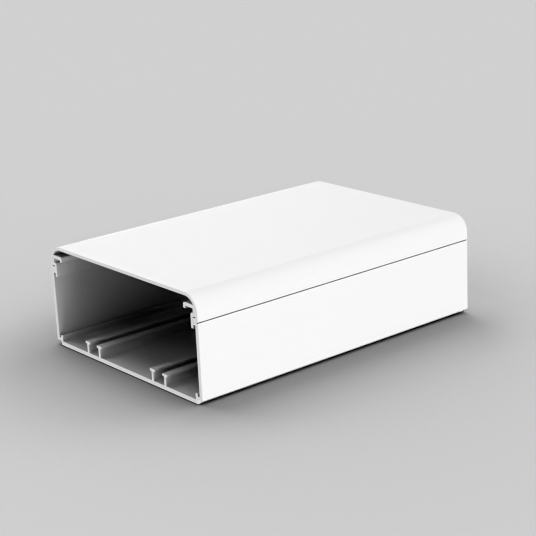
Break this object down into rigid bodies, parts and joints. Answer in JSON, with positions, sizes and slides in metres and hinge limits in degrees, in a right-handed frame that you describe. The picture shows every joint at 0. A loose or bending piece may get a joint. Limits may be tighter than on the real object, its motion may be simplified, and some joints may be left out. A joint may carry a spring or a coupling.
{
  "type": "cord cover raceway",
  "caption": "Wide rectangular cord cover raceway: white channel with T rails on its floor and a clip-on lid with rounded shoulders, open at both ends for cables.",
  "frame": {"origin": "middle of the floor's underside", "axes": "+X across the section, +Y along the length, +Z from the floor to the lid"},
  "size_m": [0.138, 0.2, 0.06],
  "materials": {
    "channel_pvc": "satin white rigid PVC, extruded, saw-cut at the ends",
    "lid_pvc": "satin white rigid PVC, extruded, saw-cut at the ends"
  },
  "bodies": {
    "root": {"base_channel": "channel_pvc", "lid": "lid_pvc"}
  },
  "joints": []
}
